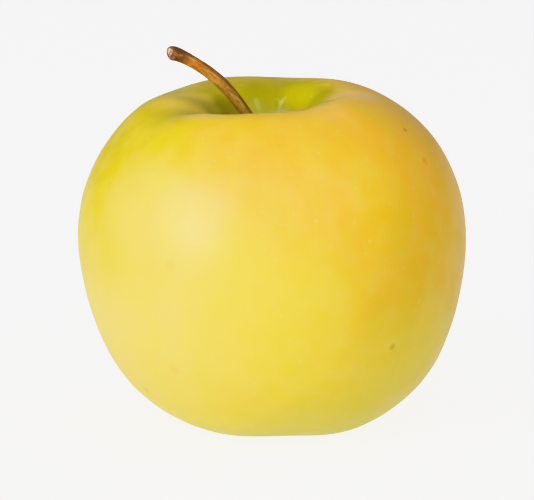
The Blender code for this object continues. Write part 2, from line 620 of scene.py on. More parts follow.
@dataclass(frozen=True)
class Tint(Layer):
    """A soft patch on one side of the fruit."""

    azimuth: float
    elevation: float
    full: float  # how far from its middle the patch is full, in degrees
    gone: float  # and where it has faded away
    colour: Colour
    strength: float = 1.0
    core: ClassVar[Place] = (0.0, 0.0, 34.0)  # the place in the fruit that the angles are seen from

    def pattern(self, graph: Graph) -> Value:
        """Return where the tint shows.

        Args:
            graph: The material's graph.

        Returns:
            The mask of the patch.
        """
        inputs = {
            "Place": graph.place,
            "Core": self.core,
            "Toward": direction(self.azimuth, self.elevation),
            "Low": math.cos(math.radians(self.gone)),
            "High": math.cos(math.radians(self.full)),
        }
        return graph.group(facing_effect(), inputs).outputs["Mask"]


@dataclass(frozen=True)
class Spot(Layer):
    """One round mark on the skin."""

    place: Place
    radius: float
    colour: Colour
    strength: float = 1.0
    full: ClassVar[float] = 0.3  # the share of the radius within which the spot is full

    def pattern(self, graph: Graph) -> Value:
        """Return where the spot shows."""
        away = graph.measure("DISTANCE", graph.place, self.place)
        return graph.step(away, self.radius, self.radius * self.full)


@dataclass(frozen=True)
class Streak(Layer):
    """One thin line on the skin."""

    start: Place
    end: Place
    width: float
    colour: Colour
    strength: float
    full: ClassVar[float] = 0.1  # the share of the width within which the streak is full

    def pattern(self, graph: Graph) -> Value:
        """Return where the streak shows.

        Args:
            graph: The material's graph.

        Returns:
            The mask of the line from its start to its end.
        """
        along = Vector(self.end) - Vector(self.start)
        off = graph.vector("SUBTRACT", graph.place, self.start)
        share = graph.measure("DOT_PRODUCT", off, along / along.length_squared)
        held = graph.math("MINIMUM", graph.math("MAXIMUM", share, 0.0), 1.0)
        away = graph.measure("DISTANCE", off, graph.scaled(along, held))
        return graph.step(away, self.width, self.width * self.full)


@dataclass(frozen=True)
class Cloud(Layer):
    """Soft patches strewn over a surface."""

    size: float
    colour: Colour
    strength: float
    edges: Span = (0.3, 0.75)
    detail: float = 1.0

    def pattern(self, graph: Graph) -> Value:
        """Return where the patches show."""
        return graph.patches(self.size, self.edges, self.detail)


@dataclass(frozen=True)
class Fibres(Layer):
    """Fine lines that run the way the piece grew."""

    around: float  # how close they are
    along: float  # and how short
    edges: Span
    colour: Colour
    strength: float

    def pattern(self, graph: Graph) -> Value:
        """Return where the lines show.

        Args:
            graph: The material's graph.

        Returns:
            The mask of the lines.
        """
        inputs = {
            "Grain": graph.attribute(Mark.GRAIN, "Vector"),
            "Around": self.around,
            "Along": self.along,
            "Low": self.edges[0],
            "High": self.edges[1],
        }
        return graph.group(fibre_effect(), inputs).outputs["Mask"]


@dataclass(frozen=True)
class Rays(Fibres):
    """Lines that run out from the middle of the dip or the basin."""

    mark: Mark
    depth: Span  # the mark's values between which they come in

    def pattern(self, graph: Graph) -> Value:
        """Return where the rays show."""
        deep = graph.step(graph.attribute(self.mark), *self.depth)
        return graph.math("MULTIPLY", super().pattern(graph), deep)


@dataclass(frozen=True)
class Hollow(Layer):
    """The inside of the dip or the basin, from a ragged edge downwards."""

    mark: Mark
    depth: Span  # the mark's values between which it comes in
    colour: Colour
    strength: float
    patch: float  # how wide the bays in its edge are, in mm
    reach: float  # and how deep, in the mark's own measure
    edges: ClassVar[Span] = (0.3, 0.7)
    rim: ClassVar[float] = 0.2  # the mark's value from which the edge is as ragged as it gets

    def pattern(self, graph: Graph) -> Value:
        """Return where the hollow's colour shows.

        Args:
            graph: The material's graph.

        Returns:
            The mask of the hollow.
        """
        value = graph.attribute(self.mark)
        bays = graph.patches(self.patch, self.edges)
        shift = graph.math("MULTIPLY_ADD", bays, self.reach, -self.reach / 2)
        ragged = graph.math("MULTIPLY_ADD", shift, graph.step(value, 0.0, self.rim), value)
        return graph.step(ragged, *self.depth)


class DotPart(Enum):
    """The parts of a dot that can be coloured."""

    WHOLE = "Mask"
    CORE = "Core"


@dataclass(frozen=True)
class Dots(Layer):
    """Small round dots."""

    spacing: float
    radius: float
    share: float  # how many of the places for a dot have one
    colour: Colour
    strength: float
    part: DotPart = DotPart.WHOLE

    def pattern(self, graph: Graph) -> Value:
        """Return where the dots show."""
        inputs = {"Place": graph.place, "Spacing": self.spacing, "Radius": self.radius, "Share": self.share}
        return graph.group(dot_effect(), inputs).outputs[self.part.value]


@dataclass(frozen=True)
class Band(Layer):
    """The bark from some way along the stem to its end."""

    along: Span  # where it begins and is full, in mm
    colour: Colour
    strength: float = 1.0

    def pattern(self, graph: Graph) -> Value:
        """Return where the band shows."""
        return graph.step(graph.grain_part("Z"), *self.along)


@dataclass(frozen=True)
class Side(Layer):
    """The bark of one side of the stem."""

    across: Span  # where it begins and is full, as a share of the stem's radius
    colour: Colour
    strength: float
    along: Span | None = None  # how far along the stem it has gone and is still full, in mm

    def pattern(self, graph: Graph) -> Value:
        """Return where the side's colour shows.

        Args:
            graph: The material's graph.

        Returns:
            The mask of the side.
        """
        mask = graph.step(graph.grain_part("X"), *self.across)
        if self.along:
            mask = graph.math("MULTIPLY", mask, graph.step(graph.grain_part("Z"), *self.along))
        return mask


@dataclass(frozen=True)
class Wood(Layer):
    """The wood of the stem's cut end: all of it, its middle, or patches of it."""

    cut: Span  # the cut mark's values between which it comes in
    colour: Colour
    strength: float = 1.0
    patch: float | None = None  # how wide its patches are, in mm
    edges: ClassVar[Span] = (0.48, 0.6)

    def pattern(self, graph: Graph) -> Value:
        """Return where the wood shows.

        Args:
            graph: The material's graph.

        Returns:
            The mask of the wood.
        """
        mask = graph.step(graph.attribute(Mark.CUT), *self.cut)
        if self.patch:
            mask = graph.math("MULTIPLY", mask, graph.patches(self.patch, self.edges))
        return mask


@dataclass(frozen=True)
class Tip(Layer):
    """The end of a dried part, which is darker than the rest."""

    run: Span  # the share of its length between which it comes in
    colour: Colour
    strength: float

    def pattern(self, graph: Graph) -> Value:
        """Return where the tip's colour shows."""
        return graph.step(graph.attribute(Mark.ALONG), *self.run)


# The finishes.

PALE: Colour = (0.88, 0.72, 0.17)
GREEN: Colour = (0.70, 0.60, 0.03)
RUSSET: Colour = (0.34, 0.20, 0.06)
RAY_EDGES: Span = (0.42, 0.62)
BARK_PALE: Colour = (0.70, 0.46, 0.15)
BARK_FOOT: Colour = (0.16, 0.10, 0.02)
PITH: Colour = (0.30, 0.12, 0.05)


@dataclass(frozen=True)
class SkinFinish:
    """The waxy skin: yellow, golden on the sunny side, green in the stem dip and faintly dotted, with painted
    light and shade in patches, round the stem dip most of all.
    """

    ground: Colour = (0.84, 0.64, 0.055)
    tints: tuple[Tint, ...] = (
        Tint(180, 10, 20, 90, (0.86, 0.70, 0.07)),  # the back, painted a lighter yellow to make up for the little light on it
        Tint(-45, 5, 12, 58, (0.81, 0.65, 0.15)),  # the pale cheek
        Tint(-75, 42, 10, 60, (0.62, 0.48, 0.0)),  # the green shoulder
        Tint(-45, 24, 4, 20, (0.83, 0.67, 0.20), 0.5),  # painted highlight: a pale patch under it, where the key lamp's sheen spreads
        Tint(85, 20, 15, 95, (0.88, 0.48, 0.012)),  # the sunny cheek
        Tint(25, 52, 12, 52, (0.95, 0.54, 0.03), 0.75),  # the sunny shoulder
        Tint(65, 46, 8, 38, (1.0, 0.53, 0.06), 0.75),  # the crest above the sunny cheek
        Tint(19, 30, 5, 24, (0.94, 0.60, 0.005), 0.5),  # a golden patch over the belly, painted there to damp the fill lamp's reflection
        Tint(22, 64, 6, 26, (0.94, 0.62, 0.13), 0.15),  # the paler front of the crest
        Tint(80, -15, 5, 28, (0.80, 0.47, 0.01), 0.35),  # the amber of the right side
        Tint(55, -42, 8, 45, (0.84, 0.66, 0.05), 0.9),  # below the sunny cheek
        Tint(0, -90, 20, 56, (0.78, 0.69, 0.09)),  # round the basin
        Tint(0, -4, 5, 32, (0.93, 0.72, 0.06), 0.6),  # the front of the belly
    )
    mottling: tuple[Layer, ...] = (
        Cloud(5.0, PALE, 0.2),
        Cloud(11.0, GREEN, 0.2),
        Cloud(2.6, GREEN, 0.12),
        Fibres(9.0, 0.03, (0.5, 0.72), GREEN, 0.18),
    )
    dip: tuple[Layer, ...] = (
        Hollow(Mark.DIP, (0.24, 0.50), (0.42, 0.36, 0.003), 0.96, 4.0, 0.10),
        Hollow(Mark.DIP, (0.60, 0.88), (0.30, 0.25, 0.02), 0.8, 4.0, 0.10),
        Rays(2.6, 0.05, RAY_EDGES, (0.30, 0.27, 0.003), 0.5, Mark.DIP, (0.3, 0.5)),
        Rays(6.0, 0.12, RAY_EDGES, RUSSET, 0.6, Mark.DIP, (0.6, 0.9)),
    )
    basin: tuple[Layer, ...] = (
        Hollow(Mark.BASIN, (0.2, 0.6), (0.52, 0.50, 0.06), 0.8, 3.0, 0.12),
        Rays(6.0, 0.12, RAY_EDGES, RUSSET, 0.7, Mark.BASIN, (0.45, 0.85)),
    )
    spots: tuple[Spot, ...] = (
        Spot((-8.0, -1.0, 57.0), 7.0, (0.24, 0.185, 0.012), 0.7),  # painted shade on the dip's wall beside the stem, where the lip shades it, darkest by the stem's foot
        Spot((-4.5, -1.0, 54.0), 5.0, (0.14, 0.09, 0.01), 0.8),
        Spot((23.8, -28.2, 21.8), 1.0, (0.46, 0.30, 0.03), 0.5),  # small scabs
        Spot((26.5, -12.5, 62.5), 0.8, (0.62, 0.25, 0.03), 0.7),
        Spot((-25.7, -18.0, 10.0), 1.3, (0.52, 0.38, 0.02), 0.5),
        Spot((-19.4, -28.7, 17.4), 1.6, (0.88, 0.56, 0.05), 0.3),  # faint orange flecks
        Spot((-20.0, -33.6, 39.5), 1.6, (0.88, 0.58, 0.06), 0.35),
        Spot((11.5, -19.4, 66.4), 1.2, (0.85, 0.52, 0.12), 0.6),
        Spot((30.5, -16.0, 57.0), 1.2, (0.80, 0.38, 0.01), 0.5),
        Spot((-8.8, 7.6, 62.6), 5.0, (0.22, 0.17, 0.005), 0.8),  # painted shadow that the stem casts on the dip's wall behind it
        # a darker patch on the dip's far wall
        Spot((-1.5, 12.5, 66.0), 6.5, (0.35, 0.31, 0.003), 0.6),
        Spot((6.0, 10.5, 66.0), 6.0, (0.54, 0.46, 0.003), 0.8),  # painted light on the lit right wall of the dip
        Spot((-17.5, 1.0, 66.0), 10.0, (0.85, 0.63, 0.09), 0.75),  # the tan crest on the left, partly painted lighter to lift the shade of its groove
        # painted shade in the corner behind the stem on the left
        Spot((-12.8, 12.8, 66.6), 5.5, (0.42, 0.34, 0.04), 0.65),
        Spot((-11.0, 8.4, 64.8), 2.8, (0.28, 0.22, 0.01), 0.5),
        # olive patches on the dip's left wall and on its crest
        Spot((-12.2, 4.8, 63.4), 3.6, (0.52, 0.43, 0.07), 0.6),
        Spot((-19.5, 12.5, 66.3), 7.0, (0.60, 0.45, 0.10), 0.6),
        Spot((-12.0, -15.0, 66.5), 6.5, (0.98, 0.73, 0.20), 0.45),  # the bright front lip
        Spot((16.0, -2.0, 67.0), 9.0, (0.98, 0.65, 0.21), 0.6),  # and the golden one on the right
        Spot((16.0, 6.5, 67.3), 5.0, (0.68, 0.47, 0.10), 0.6),
        Spot((10.5, -16.5, 67.2), 6.0, (0.95, 0.63, 0.22), 0.2),  # a paler patch on the front lip
        Spot((-8.0, 17.5, 67.5), 8.0, (0.44, 0.34, 0.06), 0.5),  # the dull far crest
        Spot((2.0, 19.0, 68.0), 9.0, (0.46, 0.36, 0.06), 0.5),
    )
    streaks: tuple[Streak, ...] = (
        Streak((-18.0, 6.3, 66.3), (-13.4, 8.0, 65.6), 2.6, (0.88, 0.68, 0.12), 0.45),  # tan, on the crest, partly a painted highlight along its thin ridge
        Streak((1.1, 8.6, 62.6), (1.8, 10.0, 64.1), 0.8, (0.60, 0.60, 0.16), 0.42),  # a forked scar
        Streak((1.8, 10.0, 64.1), (2.7, 10.7, 64.9), 0.7, (0.64, 0.62, 0.20), 0.42),
        Streak((1.8, 10.0, 64.1), (1.0, 10.8, 64.9), 0.6, (0.60, 0.58, 0.16), 0.32),
        Streak((-3.4, 10.6, 64.8), (-2.2, 8.2, 61.8), 1.1, (0.54, 0.56, 0.11), 0.6),  # a pale line by it
    )
    dots: tuple[Dots, ...] = (  # the fine dots that the skin breathes through
        Dots(2.5, 0.42, 0.8, (0.92, 0.80, 0.30), 0.24),
        Dots(2.5, 0.42, 0.8, (0.40, 0.26, 0.08), 0.5, DotPart.CORE),
    )
    roughness: Span = (0.35, 0.43)
    worn: float = 6.0  # how wide the patches of duller wax are, in mm
    worn_edges: Span = (0.3, 0.7)
    ior: float = 1.46
    wax: float = 0.12
    wax_roughness: float = 0.25
    pores: float = 0.9
    pore_edges: Span = (0.2, 0.8)
    dot_height: float = 0.6  # beside the pores' own height of 1
    peel: float = 0.012

    def make(self) -> bpy.types.Material:
        """Return the skin's material.

        Returns:
            The material, with its colour, wax and fine relief.
        """
        graph, shader, material = start_material("apple_skin")
        layers = (*self.tints, *self.mottling, *self.dip, *self.basin, *self.spots, *self.streaks, *self.dots)
        graph.paint(shader, self.ground, layers)
        low, high = self.roughness
        dull = graph.patches(self.worn, self.worn_edges)
        graph.link(graph.math("MULTIPLY_ADD", dull, high - low, low), shader.inputs["Roughness"])
        shader.inputs["IOR"].default_value = self.ior
        shader.inputs["Coat Weight"].default_value = self.wax
        shader.inputs["Coat Roughness"].default_value = self.wax_roughness
        pores = graph.patches(self.pores, self.pore_edges, 1.0)
        height = graph.math("MULTIPLY_ADD", self.dots[0].pattern(graph), self.dot_height, pores)
        graph.raise_relief(shader, height, self.peel)
        return material


@dataclass(frozen=True)
class BarkFinish:
    """The stem's bark: green-brown at the foot, orange-brown above and dark round the cut end, with painted
    light and shade on its sides.
    """

    bark: tuple[Layer, ...] = (
        Band((11.0, 17.0), (0.45, 0.25, 0.05)),
        Band((19.0, 25.0), (0.57, 0.27, 0.055)),
        Band((27.0, 32.0), (0.59, 0.20, 0.03)),
        Band((32.5, 36.0), (0.19, 0.07, 0.035)),
        Side((-0.25, -0.9), (0.46, 0.30, 0.06), 0.55, (36.0, 32.5)),  # painted light: the lit left side, in olive-gold
        Side((0.2, -0.7), BARK_FOOT, 0.75, (29.0, 20.0)),  # painted shade on the left of its lower part, in the foot's colour
        Side((0.45, 0.9), (0.12, 0.045, 0.02), 0.68),  # the right side: weathered bark and painted shade
        Fibres(1.5, 0.35, (0.5, 0.68), BARK_PALE, 0.35),
    )
    furrows: Fibres = Fibres(3.2, 0.5, (0.47, 0.66), (0.20, 0.08, 0.03), 0.5)
    dots: Dots = Dots(1.7, 0.2, 0.5, BARK_PALE, 0.5)
    wood: tuple[Wood, ...] = (
        Wood((0.0, 0.12), (0.80, 0.52, 0.31)),
        Wood((0.0, 0.12), PITH, 0.75, 0.55),
        Wood((0.82, 0.95), PITH, 0.6),
    )
    roughness: float = 0.55
    furrow_roughness: float = 0.15
    relief: float = 0.1

    def make(self) -> bpy.types.Material:
        """Return the bark's material.

        Returns:
            The material, with its colour, roughness and furrows.
        """
        graph, shader, material = start_material("apple_bark")
        graph.paint(shader, BARK_FOOT, (*self.bark, self.furrows, self.dots, *self.wood))
        furrows = self.furrows.pattern(graph)
        rough = graph.math("MULTIPLY_ADD", furrows, self.furrow_roughness, self.roughness)
        graph.link(rough, shader.inputs["Roughness"])
        height = graph.math("SUBTRACT", self.dots.pattern(graph), furrows)
        graph.raise_relief(shader, height, self.relief)
        return material


@dataclass(frozen=True)
class DriedFinish:
    """A dried part of the flower: brown, fibrous and downy."""

    name: str
    ground: Colour
    down: Cloud
    fibres: Fibres
    tip: Tip
    sheen: float
    roughness: float = 0.85
    relief: float = 0.08

    def make(self) -> bpy.types.Material:
        """Return the finish's material.

        Returns:
            The material, with its colour, sheen and fibres.
        """
        graph, shader, material = start_material(self.name)
        graph.paint(shader, self.ground, (self.down, self.fibres, self.tip))
        shader.inputs["Roughness"].default_value = self.roughness
        shader.inputs["Sheen Weight"].default_value = self.sheen
        graph.raise_relief(shader, self.fibres.pattern(graph), self.relief)
        return material


HUSK = DriedFinish(
    name="apple_husk",
    ground=(0.19, 0.11, 0.05),
    down=Cloud(0.9, (0.36, 0.29, 0.18), 0.6, (0.4, 0.65), 2.0),
    fibres=Fibres(5.0, 0.6, (0.45, 0.65), (0.05, 0.03, 0.02), 0.65),
    tip=Tip((0.6, 1.0), (0.05, 0.03, 0.02), 0.7),
    sheen=0.3,
)
THREAD = DriedFinish(
    name="apple_thread",
    ground=(0.13, 0.07, 0.035),
    down=Cloud(0.5, (0.3, 0.21, 0.12), 0.6, (0.4, 0.65), 2.0),
    fibres=Fibres(3.0, 0.8, (0.45, 0.65), (0.04, 0.025, 0.015), 0.65),
    tip=Tip((0.6, 1.0), (0.04, 0.025, 0.015), 0.7),
    sheen=0.1,
)


# The pieces.


@dataclass
class Piece:
    """One visible piece and the node that it stands for."""

    node: str
    slot: Slot

    def hand_over(self, shape: bpy.types.Object, material: bpy.types.Material) -> None:
        """Dress a finished mesh and let it stand for its node.

        Args:
            shape: The finished mesh object, with its place in its mesh.
            material: Its finish.
        """
        shape.name = f"{self.node}_{self.slot.value}"
        shape.data.name = shape.name
        shape.data.materials.clear()
        shape.data.materials.append(material)
        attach(shape, "root")
        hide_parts(self.node)
        low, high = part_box(self.node)
        places = places_of(shape)
        over = max(*(low / MM - Vector(places.min(0))), *(Vector(places.max(0)) - high / MM))
        faces = sum(len(face.vertices) - 2 for face in shape.data.polygons)
        log.info("%s: %d triangles, %.2f mm past its node's box", shape.name, faces, over)


@dataclass
class Fruit(Piece):
    """Skin and flesh, grown as one."""

    node: str = "fruit"
    slot: Slot = Slot.SKIN
    curve: Outline = (
        (1.5, 49.0),
        (3.5, 49.0),
        (6.5, 53.0),
        (8.3, 60.5),
        (13.8, 67.2),
        (22.5, 67.5),
        (28.5, 64.0),
        (36.0, 56.0),
        (40.5, 43.5),
        (39.5, 27.5),
        (34.5, 12.5),
        (27.8, 4.6),
        (21.2, 0.4),
        (15.0, -0.5),
        (10.0, 1.0),
        (6.5, 6.0),
        (4.5, 7.5),
        (2.5, 7.5),
    )
    socket: Outline = ((1.5, 47.0), (0.0, 47.0))
    flower_tube: Outline = ((2.1, 9.0), (0.9, 12.0), (0.0, 12.0))
    steps: int = 16
    sides: int = 256
    depth_to_width: float = 0.96
    dip_shift: Span = (-1.4, 0.2)  # to the right and to the back, as for the tilts
    crest_tilt: Span = (0.9, 0.6)
    crest_twist: Span = (-0.2, -0.2)
    crest_lobes: Span = (-0.3, 3.4)  # height and angle
    crest_swells: tuple[Place, ...] = (  # height, angle, width
        (-0.9, 194.0, 18.0),
        (-0.3, 211.0, 10.0),
        (0.45, 229.0, 13.0),
        (-0.25, 244.0, 24.0),
        (0.2, 285.0, 14.0),
    )
    base_tilt: float = -0.15
    base_lobes: Span = (-0.26, 23.0)  # height and angle
    lean: float = -1.5
    lobes: int = 5
    top_fade: Span = (30.0, 66.0)
    base_fade: Span = (26.0, 0.0)
    axis_fade: Span = (0.0, 14.0)
    dip_fade: Span = (36.0, 20.0)
    lean_span: float = 72.0
    swells: tuple[Span, ...] = ((0.14, 15.0), (0.05, 5.0))  # how high and how wide
    bulge: tuple[Place, float, float] = ((-14.5, 0.0, 65.5), 6.5, 0.3)  # where, how wide, how high
    pleat_width: float = 0.34
    pleat_length: float = 16.0
    dip_pleats: float = 0.28
    dip_pleat_fade: Span = (14.0, 6.0)
    basin_pleats: float = 0.5
    basin_pleat_fade: Span = (17.0, 7.0)
    smooth_fade: Span = (2.5, 5.0)  # round the stem and the flower tube, where the skin has no relief
    mark_reach: float = 26.0
    on_axis: float = 0.01  # the least radius that a side is worked out from

    def build(self, finish: SkinFinish) -> None:
        """Model the fruit and hand it over.

        Args:
            finish: How its skin looks.
        """
        fruit = self.outline()
        spin_round(fruit, self.sides)
        places = places_of(fruit)
        self.mark(fruit, places)
        move_to(fruit, self.uneven(places))
        push_out(fruit, self.relief(places))
        placed = places_of(fruit)
        placed[:, 2] = np.maximum(placed[:, 2], 0.0)
        move_to(fruit, placed)
        pick(fruit)
        bpy.ops.object.shade_smooth()
        self.hand_over(fruit, finish.make())

    def outline(self) -> bpy.types.Object:
        """Return the half outline, with the stem's socket and the flower tube drawn on.

        Returns:
            The outline as a mesh line in the XZ plane.
        """
        line = half_outline("fruit", self.curve, self.steps)
        with editing(line):
            self.draw_on(self.curve[0], self.socket)
            self.draw_on(self.curve[-1], self.flower_tube)
        return line

    def draw_on(self, start: tuple[float, float], places: Outline) -> None:
        """Extrude the outline's end from place to place.

        Args:
            start: The radius and height where it ends now.
            places: The radius and height of each further point.
        """
        end = Vector((start[0], 0.0, start[1])) * MM
        select_points(lambda place: (place - end).length < WELD)
        for radius, height in places:
            new_end = Vector((radius, 0.0, height)) * MM
            bpy.ops.mesh.extrude_region_move(TRANSFORM_OT_translate={"value": new_end - end})
            end = new_end

    def mark(self, fruit: bpy.types.Object, places: np.ndarray) -> None:
        """Write where the stem dip and the basin are, and which way the flesh grew.

        Args:
            fruit: The turned fruit.
            places: The places of its points, in mm.
        """
        radius = np.hypot(places[:, 0], places[:, 1])
        upper = places[:, 2] > np.mean(places[:, 2])
        nearness = np.clip(1 - radius / self.mark_reach, 0, 1)
        write_mark(fruit, Mark.DIP, np.where(upper, nearness, 0.0))
        write_mark(fruit, Mark.BASIN, np.where(upper, 0.0, nearness))
        flat = places[:, :2] / np.maximum(radius, self.on_axis)[:, None]
        write_mark(fruit, Mark.GRAIN, np.column_stack([flat, places[:, 2]]))

    def relief(self, places: np.ndarray) -> np.ndarray:
        """Return how far the skin swells.

        Args:
            places: The places of the turned fruit's points, in mm.

        Returns:
            The swell at each point, in mm.
        """
        radius = np.hypot(places[:, 0], places[:, 1])
        ring = places / np.maximum(radius, self.on_axis)[:, None]
        ring[:, 2] = radius / self.pleat_length
        pleats = lumps(ring, self.pleat_width)
        upper = places[:, 2] > np.mean(places[:, 2])
        depth = np.where(upper, self.dip_pleats * fade(radius, self.dip_pleat_fade), 0.0)
        depth += np.where(upper, 0.0, self.basin_pleats * fade(radius, self.basin_pleat_fade))
        swell = sum(height * lumps(places, width) for height, width in self.swells)
        place, reach, height = self.bulge
        bulge = height * np.exp(-(((places - place) / reach) ** 2).sum(1))
        return fade(radius, self.smooth_fade) * (depth * pleats + swell) + bulge

    def uneven(self, places: np.ndarray) -> np.ndarray:
        """Return where the real fruit has the points of the turned one.

        Args:
            places: The places of the turned fruit's points, in mm.

        Returns:
            Their places on the uneven fruit, in mm.
        """
        x, y, z = places.T
        radius, angle = np.hypot(x, y), np.arctan2(y, x)
        top, base = fade(z, self.top_fade), fade(z, self.base_fade)
        dip = top * fade(radius, self.dip_fade)
        off_axis = fade(radius, self.axis_fade)
        crest = self.crest_tilt[0] * np.cos(angle) + self.crest_tilt[1] * np.sin(angle)
        crest += self.crest_twist[0] * np.cos(2 * angle) + self.crest_twist[1] * np.sin(2 * angle)
        crest += self.crest_lobes[0] * np.cos(self.lobes * (angle - math.radians(self.crest_lobes[1])))
        for height, at, width in self.crest_swells:
            crest += height * bell(angle, at, width)
        under = self.base_tilt * np.cos(angle)
        under += self.base_lobes[0] * np.cos(self.lobes * (angle - math.radians(self.base_lobes[1])))
        new_x = x + self.dip_shift[0] * dip + self.lean * (z / self.lean_span - 0.5)
        new_y = y * self.depth_to_width + self.dip_shift[1] * dip
        new_z = z + off_axis * (top * crest + base * under)
        return np.column_stack([new_x, new_y, np.maximum(new_z, 0.0)])


@dataclass
class Stem(Piece):
    """The woody stem, from its foot in the dip to the end that broke from the twig."""

    node: str = "stem"
    slot: Slot = Slot.BARK
    route: tuple[Place, ...] = (
        (-0.95, 0.1, 47.4),
        (-0.95, 0.1, 52.0),
        (-2.3, 0.0, 59.2),
        (-5.0, -0.3, 63.2),
        (-8.6, -1.0, 68.4),
        (-12.8, -1.7, 72.5),
        (-17.5, -2.5, 75.5),
        (-19.9, -2.8, 76.6),
        (-20.6, -3.4, 76.5),
    )
    radii: tuple[float, ...] = (1.1, 1.1, 1.1, 1.2, 1.2, 1.28, 1.14, 1.6, 1.42)
    steps: int = 24
    bevel: int = 22
    crease: float = 50.0
    rounding: float = 0.2
    on_line: float = 0.001  # the least radius that a side is worked out from
    rim_fade: Span = (0.1, 0.9)  # the radii between which the bark's ridges come in, in mm
    cut_likeness: float = 0.99  # how nearly a face looks the stem's own way to be of its cut end
    cut_depth: float = 0.01
    wood_radius: float = 1.04
    wood_shift: Place = (0.0, 0.0, 0.3)
    wood_rings: int = 7
    wood_grain: float = 0.5
    wood_roughness: float = 0.12
    wood_fade: Span = (0.0, 0.25)
    ridges: tuple[tuple[float, float, float], ...] = ((0.09, 0.8, 6.0), (0.05, 0.3, 2.5), (0.03, 0.14, 0.8))
    flare: float = 0.36
    flare_heights: Span = (52.5, 49.2)

    def build(self, finish: BarkFinish) -> None:
        """Model the stem and hand it over.

        Args:
            finish: How its bark and wood look.
        """
        stem = smooth_line("stem", [self.route], self.steps)
        middle = line_places(stem)
        thicken(stem, [self.radii], self.bevel)
        with editing(stem):
            close_up()
            self.shape_cut_end()
        self.grow(stem, middle)
        smooth_faces(stem, self.crease)
        self.hand_over(stem, finish.make())

    def shape_cut_end(self) -> None:
        """Divide the end that broke from the twig into rings, so that its wood can be rough."""
        before, tip = (Vector(place) for place in self.route[-2:])
        way, middle, reach = (tip - before).normalized(), tip * MM, self.radii[-1] * MM
        select_faces(
            lambda face: face.normal.dot(way) > self.cut_likeness
            and (face.calc_center_median() - middle).length < reach
        )
        bpy.ops.mesh.dissolve_faces()
        for _ in range(self.wood_rings):
            bpy.ops.mesh.inset(thickness=self.radii[-1] / (self.wood_rings + 1) * MM)
        bpy.ops.mesh.poke()

    def grow(self, stem: bpy.types.Object, middle: np.ndarray) -> None:
        """Give the stem its ridges and its flared foot, and write where its bark runs.

        Args:
            stem: The swept stem.
            middle: The places along its middle line, in mm.
        """
        places = places_of(stem)
        nearest = np.argmin(np.linalg.norm(places[:, None] - middle[None], axis=2), axis=1)
        runs = np.gradient(middle, axis=0)
        lengths = np.linalg.norm(runs, axis=1)
        ways = (runs / lengths[:, None])[nearest]
        off = places - middle[nearest]
        ahead = (off * ways).sum(1)
        off -= ahead[:, None] * ways
        radius = np.maximum(np.linalg.norm(off, axis=1), self.on_line)
        scale = np.maximum(radius, self.radii[0])[:, None]
        side = np.cross((0.0, 1.0, 0.0), ways)
        side /= np.linalg.norm(side, axis=1)[:, None]
        across, front = (off * side / scale).sum(1), (off * np.cross(ways, side) / scale).sum(1)
        along = np.concatenate([[0.0], np.cumsum(np.linalg.norm(np.diff(middle, axis=0), axis=1))])
        grain = np.column_stack([across, front, along[nearest] + ahead])
        height = self.flare * fade(places[:, 2], self.flare_heights)
        for depth, width, length in self.ridges:
            height += depth * lumps(grain / (width, width, length), 1.0)
        to_end = along[-1] - grain[:, 2]
        rim = np.clip(1 - to_end / self.rounding, 0, 1)
        rounded = self.rounding * (1 - np.sqrt(1 - rim**2)) * radius / self.radii[-1]
        out = height * fade(radius, self.rim_fade) - rounded
        from_pith = np.linalg.norm(off - self.wood_shift, axis=1)
        inner = np.clip(1 - from_pith / self.wood_radius, 0, 1)
        inner = np.where(to_end < self.cut_depth, inner, 0.0)
        rough = self.wood_roughness * (lumps(places, self.wood_grain) - 1) * fade(inner, self.wood_fade)
        move_to(stem, places + off / radius[:, None] * out[:, None] + ways * rough[:, None])
        write_mark(stem, Mark.GRAIN, grain)
        write_mark(stem, Mark.CUT, inner)


